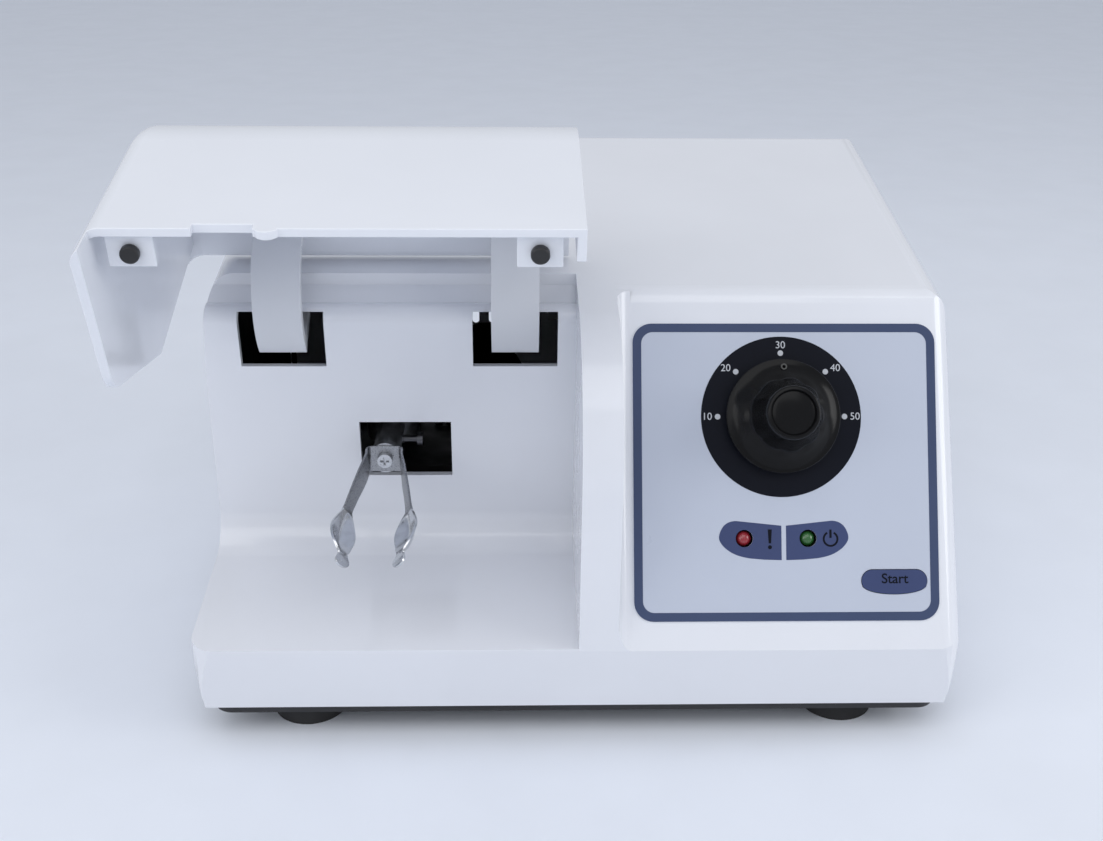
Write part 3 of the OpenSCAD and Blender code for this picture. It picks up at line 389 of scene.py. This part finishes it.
def bend_end_corner(mesh):
    """The cover turns down into the end wall in a wide bend, as a sheet moulding does."""
    radius, wall, slack = 5.0 * mm, 3.2 * mm, 0.1 * mm
    sharp = 0.5
    cuts = (0.25, 0.9, 1.8, 2.9, 4.1, 5.0)
    build = bmesh.new()
    build.from_mesh(mesh)
    build.normal_update()
    outline = []
    for edge in build.edges:
        if is_end_corner(edge) and edge.calc_face_angle() > sharp:
            cover = max(edge.link_faces, key=lambda face: abs(face.normal[1]) + abs(face.normal[2]))
            outline.append((edge.verts[0].co.copy(), edge.verts[1].co.copy(), cover.normal.copy()))
    for cut in cuts:
        bmesh.ops.bisect_plane(build, geom=build.verts[:] + build.edges[:] + build.faces[:],
                               plane_co=(lid_end + cut * mm, 0, 0), plane_no=(1, 0, 0))
    for vert in build.verts:
        into = vert.co[0] - lid_end
        if into >= radius:
            continue
        nearest = None
        for start, stop, normal in outline:
            along = stop - start
            t = (vert.co - start).dot(along) / along.length_squared
            beside = 0 if 0 <= t <= 1 else min(abs(t), abs(t - 1)) * along.length
            under = (start - vert.co).dot(normal)
            if -slack < under < wall and (nearest is None or under + beside < nearest[0]):
                nearest = (under + beside, normal)
        if nearest:
            vert.co -= nearest[1] * (radius - math.sqrt(radius ** 2 - (radius - into) ** 2))
    build.to_mesh(mesh)
    build.free()


lid_white = moulded("lid_white", (0.79, 0.81, 0.86), 0.2, coat=0.3, drift=0.012,
                    grain=0.006 * mm, grain_scale=500)
arm_white = moulded("arm_white", (0.66, 0.675, 0.71), 0.32, drift=0.02, grain=0.01 * mm, grain_scale=600)
bumper_rubber = moulded("bumper_rubber", (0.012, 0.012, 0.013), 0.5, drift=0.2)
add_piece("lid_shell", rounded_copy("lid_cover", 0.9 * mm, lid_edge, then=bend_end_corner), lid_white,
          node="lid_cover", stands_for=["lid_cover"])
add_piece("lid_gooseneck_arms", rounded_copy("lid_arms", 0.5 * mm, outer_edge), arm_white, node="lid_arms",
          stands_for=["lid_arms"])
add_piece("lid_rubber_bumpers", rounded_copy("lid_bumpers", 0.7 * mm, outer_edge), bumper_rubber,
          node="lid_bumpers", stands_for=["lid_bumpers"])


# Capsule clip
# Pressed from one strip of spring steel: a base under the screw, two legs that twist at
# their necks, and two pointed troughs that face each other and end in small round tabs.
# One steel in two copies: a darker one on the base and legs as painted shade, a lighter one on the troughs
# as painted light.
clip_steel = metal("clip_steel", (0.33, 0.335, 0.35), 0.3, scale=2200, drift=0.14)
clip_painted_light = metal("clip_painted_light", (0.66, 0.67, 0.69), 0.2, scale=500, drift=0.06)
clip_low, clip_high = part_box("capsule_clip")
clip_at = Vector(((clip_low[0] + clip_high[0]) / 2, clip_high[1] - 0.4 * mm,
                  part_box("clip_screw")[0][2] + 2.4 * mm))
strip_t = 0.7
strip_edge = 0.15
painted_light_from = -22.5
neck_y, leg_l, lean_left = -6, 34, 1.5
# Each station in mm: across, out of the front, height, width, twist in degrees, depth of the trough
half_strip = [
    (0, 0.0, 0.0, 9.0, 0, 0),
    (3.6, 0.0, 0.0, 9.0, 0, 0),
    (5.0, -0.35, 0.0, 9.0, 0, 0),
    (5.55, -1.6, -0.2, 8.9, 0, 0),
    (5.75, -3.6, -0.8, 8.4, 0, 0),
    (6.9, -9.0, -2.9, 7.0, 6, 0),
    (8.3, -15.0, -5.3, 5.6, 10, 0),
    (9.4, -20.5, -7.4, 4.3, 20, 0.1),
    (9.7, -23.0, -8.3, 4.4, 40, 0.4),
    (10.0, -25.8, -9.3, 6.4, 50, 1.3),
    (10.3, -29.0, -10.5, 8.4, 52, 2.4),
    (10.3, -31.5, -11.5, 9.0, 50, 2.8),
    (10.0, -34.2, -12.5, 8.2, 48, 2.4),
    (9.3, -36.6, -13.4, 6.0, 46, 1.4),
    (8.8, -38.2, -14.0, 3.6, 46, 0.3),
    (8.7, -39.2, -14.3, 3.9, 46, 0.0),
    (8.6, -40.4, -14.7, 4.9, 46, 0.0),
    (8.6, -41.6, -15.1, 4.9, 46, 0.0),
    (8.6, -42.5, -15.4, 3.7, 46, 0.0),
    (8.6, -43.0, -15.6, 1.4, 46, 0.0)]


def along_stations(stations, steps):
    """Stations joined by a smooth curve through each of them."""
    rows = []
    last = len(stations) - 1
    for k in range(last):
        before, here, after, beyond = (stations[min(max(k + m, 0), last)] for m in (-1, 0, 1, 2))
        for step in range(steps):
            t = step / steps
            rows.append([0.5 * (2 * b + (c - a) * t + (2 * a - 5 * b + 4 * c - d) * t * t
                                + (3 * b - a - 3 * c + d) * t ** 3)
                         for a, b, c, d in zip(before, here, after, beyond)])
    return rows + [list(stations[-1])]


def strip_mesh():
    """The whole strip: a ribbon with troughs along both legs, given its thickness and soft edges."""
    right_half = along_stations(half_strip, 6)
    left_half = [[-row[0]] + row[1:] for row in reversed(right_half[1:])]
    rows = left_half + right_half
    middles = [Vector((x + lean_left * min(0, y - neck_y) / leg_l, y, z)) for x, y, z, *_ in rows]
    build = bmesh.new()
    grid = []
    across_steps = 14
    trough_curve = 1.35
    for k, (*_, width, twist, trough) in enumerate(rows):
        ahead_dir = (middles[min(k + 1, len(rows) - 1)] - middles[max(k - 1, 0)]).normalized()
        up = Vector((0, 0, 1))
        up = (up - ahead_dir * up.dot(ahead_dir)).normalized()
        across = Matrix.Rotation(math.radians(-twist), 3, ahead_dir) @ up
        inward = ahead_dir.cross(across)
        line = []
        for m in range(across_steps + 1):
            v = 2 * m / across_steps - 1
            sink = trough * (1 - abs(v) ** trough_curve)
            at = middles[k] + across * v * width / 2 + inward * (-sink + trough * 0.5)
            line.append(build.verts.new(at))
        grid.append(line)
    for k in range(len(rows) - 1):
        for m in range(across_steps):
            face = build.faces.new((grid[k][m], grid[k + 1][m], grid[k + 1][m + 1], grid[k][m + 1]))
            # Faces beyond the necks get the lighter copy of the steel, a painted light on the troughs.
            face.material_index = 1 if rows[k][1] < painted_light_from else 0
    bmesh.ops.recalc_face_normals(build, faces=build.faces)
    mesh = bpy.data.meshes.new("strip")
    build.to_mesh(mesh)
    build.free()
    holder = linked("strip", mesh)
    thicken = holder.modifiers.new("thickness", "SOLIDIFY")
    thicken.thickness = strip_t
    thicken.offset = 0
    bevel = holder.modifiers.new("edges", "BEVEL")
    bevel.width = strip_edge
    bevel.segments = 2
    bevel.angle_limit = math.radians(50)
    result = read_mesh(holder)
    bpy.data.objects.remove(holder)
    result.transform(Matrix.Translation(clip_at) @ Matrix.Scale(mm, 4))
    smooth_by_angle(result, 40)
    return result


clip = strip_mesh()
add_piece("clip_strip", clip, clip_steel, node="capsule_clip", stands_for=["capsule_clip"])
clip.materials.append(clip_painted_light)


# Control panel
# A printed film in pale blue with a navy border, the dial's black disc and two lamp fields
# lies on the panel. The prints are thin layers on the film.
lean = math.radians(27.2)
panel_turn = Matrix(((1, 0, 0), (0, math.sin(lean), -math.cos(lean)), (0, math.cos(lean), math.sin(lean))))
panel_place = Matrix.Translation(belt) @ panel_turn.to_4x4()
film_t = 0.4
print_t = 0.05
over_print = film_t + print_t
label_x, label_s, label_w, label_h, label_r = 17.1, 9, 95, 92.6, 6
dial_x, dial_s, dial_r, dial_hub_r = 63.4, 72.4, 25.1, 8
label_film = moulded("label_film", (0.5, 0.54, 0.635), 0.34, drift=0.012, grain=0.002 * mm)
print_navy = moulded("print_navy", (0.05, 0.07, 0.14), 0.35, drift=0.05, shine=0.3)
print_black = moulded("print_black", (0.005, 0.006, 0.011), 0.4, drift=0.05, shine=0.12)
print_grey = moulded("print_grey", (0.52, 0.54, 0.58), 0.4, drift=0.05)


def arc(x, s, r, start, end, steps=24):
    """Points of an arc on the panel: x across, s up its slope, turns in degrees."""
    turns = [math.radians(start + (end - start) * k / steps) for k in range(steps + 1)]
    return [(x + r * math.cos(a), s + r * math.sin(a)) for a in turns]


def disc(x, s, r, steps):
    return arc(x, s, r, 0, 360, steps)


def rounded_box(x, s, w, h, r):
    corners = [(x + w - r, s + h - r, 0), (x + r, s + h - r, 90), (x + r, s + r, 180),
               (x + w - r, s + r, 270)]
    return [point for cx, cs, a in corners for point in arc(cx, cs, r, a, a + 90, 10)]


def round_path(corners, soft):
    """A closed outline through corners, with the soft ones joined by a smooth curve."""
    points = []
    count = len(corners)
    for k in range(count):
        before, here, after, beyond = (Vector(corners[(k + m) % count]) for m in (-1, 0, 1, 2))
        points.append(tuple(here))
        if k in soft and (k + 1) % count in soft:
            for t in (0.25, 0.5, 0.75):
                bend = 0.5 * ((2 * here) + (after - before) * t
                              + (2 * before - 5 * here + 4 * after - beyond) * t ** 2
                              + (3 * here - before - 3 * after + beyond) * t ** 3)
                points.append(tuple(bend))
    return points


def layer_from(name, curve, material, at, body):
    """Turns a flat curve into a piece that lies on the panel, at a place in millimetres."""
    holder = linked(name, curve)
    mesh = read_mesh(holder)
    bpy.data.objects.remove(holder)
    mesh.transform(panel_place @ Matrix.Scale(mm, 4) @ Matrix.Translation(at))
    return add_piece(name, mesh, material, body=body)


def print_layer(name, loops, material, low, thick=print_t, body="base"):
    """A print on the film, from closed outlines in millimetres; inner outlines are holes."""
    curve = bpy.data.curves.new(name, "CURVE")
    curve.dimensions = "2D"
    curve.fill_mode = "BOTH"
    curve.extrude = thick / 2
    for loop in loops:
        spline = curve.splines.new("POLY")
        spline.points.add(len(loop) - 1)
        for point, (x, s) in zip(spline.points, loop):
            point.co = (x, s, 0, 1)
        spline.use_cyclic_u = True
    return layer_from(name, curve, material, (0, 0, low + thick / 2), body)


def print_words(name, text, x, s, size, material, low, body="base", weight=0.0):
    """Letters or figures on the panel, centred on a place; weight makes their strokes fuller."""
    curve = bpy.data.curves.new(name, "FONT")
    curve.body = text
    curve.size = size
    curve.align_x = "CENTER"
    curve.align_y = "CENTER"
    curve.extrude = 0.02
    curve.offset = weight * size
    return layer_from(name, curve, material, (x, s, low + curve.extrude), body)


lamp_s = 34.5
lamp_x = [51.45, 71.35]
lamp_hole_r = 2.7
shaft_hole_r = 3.7
key_mid = [98.1, 21.0]
key_gap = 0.18
key_half, key_shoulder, key_rise, key_bulge = 10.2, 3.4, 3.7, 3.6


def key_outline(grow):
    """The start key's face: a flat top between round shoulders and a bulging foot."""
    x, s = key_mid
    half, shoulder = key_half + grow, key_shoulder + grow
    shoulder_s = s + key_rise + grow - shoulder
    turns = [math.radians(a) for a in range(-75, 80, 5)]
    foot = [(x + half * math.sin(a), s - 0.2 - (key_bulge + grow) * math.cos(a) ** 0.8) for a in turns]
    return (arc(x + half - shoulder, shoulder_s, shoulder, -25, 90, 14)
            + arc(x - half + shoulder, shoulder_s, shoulder, 90, 205, 14) + foot)


outline = rounded_box(label_x, label_s, label_w, label_h, label_r)
lamp_holes = [disc(x, lamp_s, lamp_hole_r, 48) for x in lamp_x]
film_holes = lamp_holes + [disc(dial_x, dial_s, shaft_hole_r, 48), key_outline(key_gap)]
add_film = print_layer("label_sheet", [outline] + film_holes, label_film, 0, thick=film_t)
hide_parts("control_label")
border_w, border_r = 2.7, 3.6
inner = rounded_box(label_x + border_w, label_s + border_w, label_w - 2 * border_w,
                    label_h - 2 * border_w, border_r)
print_layer("print_border", [outline, inner], print_navy, film_t)

# The dial's disc, with five dots and the figures 10 to 50 outside them, clockwise from the left
dot_ring, dot_r = 19.9, 0.88
figure_ring, figure_size = 22.4, 3.2
print_layer("print_dial", [disc(dial_x, dial_s, dial_r, 96), disc(dial_x, dial_s, dial_hub_r, 48)],
            print_black, film_t)
for k, (figure_x, figure_rise) in enumerate([(23.2, 1), (24.36, 0.96), (0, 1), (24.36, 0.96), (23.2, 1)]):
    turn = math.radians(180 - 45 * k)
    dot = disc(dial_x + dot_ring * math.cos(turn), dial_s + dot_ring * math.sin(turn), dot_r, 20)
    print_layer(f"print_dot_{k}", [dot], print_grey, over_print)
    print_words(f"print_number_{k}", str(10 + 10 * k), dial_x + figure_x * math.cos(turn),
                dial_s + figure_ring * math.sin(turn) * figure_rise, figure_size, print_grey, over_print)

# Two lamp fields, each round at its outer end and cut straight where they meet
pill_navy = moulded("pill_navy", (0.045, 0.062, 0.15), 0.35, drift=0.05, shine=0.3)
pill_mid = 63.75
gap_half = 0.72
upper = [(20.2, 34.9), (19.4, 37.4), (17.9, 39.1), (15.6, 39.9), (12.5, 39.7), (gap_half, 38.45)]
lower = [(gap_half, 27.8), (6, 27.95), (10.5, 28.35), (14.5, 29.3), (17.5, 30.9), (19.5, 32.9)]
for side, lamp_hole in zip((-1, 1), lamp_holes):
    corners = [(pill_mid + side * x, s) for x, s in upper + lower]
    field = round_path(corners, (8, 9, 10, 11, 0, 1, 2, 3, 4))
    print_layer(f"print_lamp_field_{side}", [field, lamp_hole], pill_navy, film_t)

# The exclamation mark on the left field and the power sign on the right one
mark_x = 59.4
print_layer("print_alert_bar", [[(mark_x - 0.62, 37.3), (mark_x + 0.62, 37.3), (mark_x + 0.38, 33.0),
                                 (mark_x - 0.38, 33.0)]], print_black, over_print)
print_layer("print_alert_dot", [disc(mark_x, 31.8, 0.62, 20)], print_black, over_print)
sign_x = 78.35
ring = arc(sign_x, 34.3, 2.45, 118, 422, 40) + arc(sign_x, 34.3, 1.85, 422, 118, 40)
print_layer("print_power_ring", [ring], print_black, over_print)
print_layer("print_power_bar", [[(sign_x - 0.35, 34.6), (sign_x + 0.35, 34.6), (sign_x + 0.35, 37.2),
                                 (sign_x - 0.35, 37.2)]], print_black, over_print)


# Timer knob
# A black moulded knob: a wide concave skirt with a turned edge, a grip with nine shallow
# lobes that fade towards the top, and a domed cap let into a ring. A set screw holds it.
knob_black = moulded("knob_black", (0.0045, 0.0045, 0.005), 0.2, drift=0.2, grain=0.004 * mm, shine=0.17)
knob_base = 3.3
knob_steps = 216
lobes = 9
lobe_depth = 0.75
grip_from, lobes_fade = 4.6, 10.5
shaft_r = 3.05
skirt_r = 17.75
# Rings from the foot to the cap: radius and height above the knob's foot
skirt_rings = [(17.0, 0), (skirt_r - 0.15, 0.15), (skirt_r, 0.4), (skirt_r, 1.0), (skirt_r - 0.2, 1.25)]
skirt_rings += [(skirt_r - 0.3 - 5.5 * part / 9, 1.3 + 3.4 * (part / 9) ** 1.7) for part in range(1, 10)]
grip_rings = [(11.6 - 3.5 * (part / 11) ** 0.75, 5.0 + 12.0 * part / 11) for part in range(12)]
top_rings = [(7.9, 17.35), (7.6, 17.6), (6.95, 17.65), (6.7, 17.4), (6.55, 16.9), (6.45, 16.95),
             (5.4, 17.2), (3.6, 17.4), (1.8, 17.5)]
tip_h = 17.55


def knob_mesh():
    """Rings round the shaft, with shallow hollows between the lobes that fade up the grip."""
    build = bmesh.new()
    turns = [2 * math.pi * k / knob_steps for k in range(knob_steps)]
    steps = [(k, (k + 1) % knob_steps) for k in range(knob_steps)]
    rings = []
    for r, h in skirt_rings + grip_rings + top_rings:
        fade = max(0, 1 - (h - grip_from) / lobes_fade) if h > grip_from else 0
        ring = []
        for turn in turns:
            lobe = lobe_depth * fade * (1 - abs(math.cos(lobes * turn / 2)) ** 1.2)
            ring.append(build.verts.new(((r - lobe) * math.cos(turn), (r - lobe) * math.sin(turn), h)))
        rings.append(ring)
    for low, high in zip(rings, rings[1:]):
        for k, m in steps:
            build.faces.new((low[k], low[m], high[m], high[k]))
    tip = build.verts.new((0, 0, tip_h))
    for k, m in steps:
        build.faces.new((rings[-1][k], rings[-1][m], tip))
    bore = [build.verts.new((shaft_r * math.cos(turn), shaft_r * math.sin(turn), 0)) for turn in turns]
    for k, m in steps:
        build.faces.new((rings[0][m], rings[0][k], bore[k], bore[m]))
    mesh = bpy.data.meshes.new("knob")
    build.to_mesh(mesh)
    build.free()
    mesh.transform(panel_place @ Matrix.Scale(mm, 4) @ Matrix.Translation((dial_x, dial_s, knob_base)))
    smooth_by_angle(mesh, 38)
    return mesh


add_piece("knob_body", knob_mesh(), knob_black, node="timer_knob", stands_for=["timer_knob"])
knob_mark = moulded("knob_mark", (0.09, 0.09, 0.085), 0.5, drift=0.2)
pointer_s = dial_s + skirt_r - 2.6
pointer_low, pointer_t = knob_base + 2.2, 0.7
pointer_ring = [disc(dial_x, pointer_s, r, 24) for r in (0.95, 0.55)]
print_layer("knob_pointer", pointer_ring, knob_mark, pointer_low, thick=pointer_t,
            body="knob")


# Lamps and start key
# Two round lamps sit below holes in the film, one red and one green. The start key is a
# printed cap that travels a little into the panel, heights counted from the panel's face.
lamp_red = moulded("lamp_red", (0.3, 0.02, 0.03), 0.15, coat=0.5, drift=0.2)
lamp_green = moulded("lamp_green", (0.02, 0.09, 0.02), 0.15, coat=0.5, drift=0.2)
key_navy = moulded("key_navy", (0.045, 0.062, 0.15), 0.35, drift=0.05, shine=0.3)
dress(lamp_red, "red_lamp")
dress(lamp_green, "green_lamp")
key_low = -4.1
key_top = 0.6
key_cap = print_layer("start_key_cap", [key_outline(0)], key_navy, key_low,
                      thick=key_top - key_low, body="key")
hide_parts("start_key")
print_words("print_start", "Start", key_mid[0] + 0.1, key_mid[1] + 0.85, 4.3, print_black, key_top,
            body="key", weight=0.012)


# Rear fittings
# The red rocker turns the mains on. The other rear fittings have the black moulding and
# the brass of the sections above.
rocker_red = moulded("rocker_red", (0.4, 0.012, 0.012), 0.25, coat=0.4, drift=0.05)
dress(rocker_red, "power_rocker")


# Floor and light
# A pale seamless floor and four wide soft lamps, over the machine, in front, at the left
# and at the right, with an even pale surround.
reach = 3.0
floor_mesh = bpy.data.meshes.new("floor")
floor_mesh.from_pydata([(-reach, -reach, 0), (reach, -reach, 0), (reach, reach, 0), (-reach, reach, 0)], [],
                       [(0, 1, 2, 3)])
floor = linked("floor", floor_mesh)
floor_pale = moulded("floor_pale", (0.8, 0.835, 0.905), 0.7, drift=0.01)
floor_mesh.materials.append(floor_pale)


def soft_lamp(name, at, aim, size, power):
    """A white panel of light at a place, turned towards its aim; metres and watts."""
    lamp = bpy.data.lights.new(name, "AREA")
    lamp.shape = "RECTANGLE"
    lamp.size, lamp.size_y = size
    lamp.energy = power
    turn = (Vector(aim) - Vector(at)).to_track_quat("-Z", "Y").to_matrix().to_4x4()
    linked(name, lamp).matrix_world = Matrix.Translation(at) @ turn


soft_lamp("lamp_over", (-0.1, -0.65, 1.3), (0, 0.0, 0.08), (1.3, 0.9), 4.3)
soft_lamp("lamp_front", (-0.55, -1.0, 0.85), (0, 0, 0.06), (0.8, 0.5), 1.3)
soft_lamp("lamp_left", (-1.0, -0.6, 0.55), (0, 0, 0.08), (0.7, 0.7), 2.6)
soft_lamp("lamp_right", (1.0, -0.35, 0.5), (0, 0, 0.08), (0.6, 0.6), 3.4)
world = bpy.data.worlds.new("surround")
world.use_nodes = True
bpy.context.scene.world = world
surround = world.node_tree.nodes["Background"]
surround.inputs["Color"].default_value = (0.7, 0.73, 0.79, 1)
surround.inputs["Strength"].default_value = 0.76
bpy.context.scene.view_settings.view_transform = "Standard"
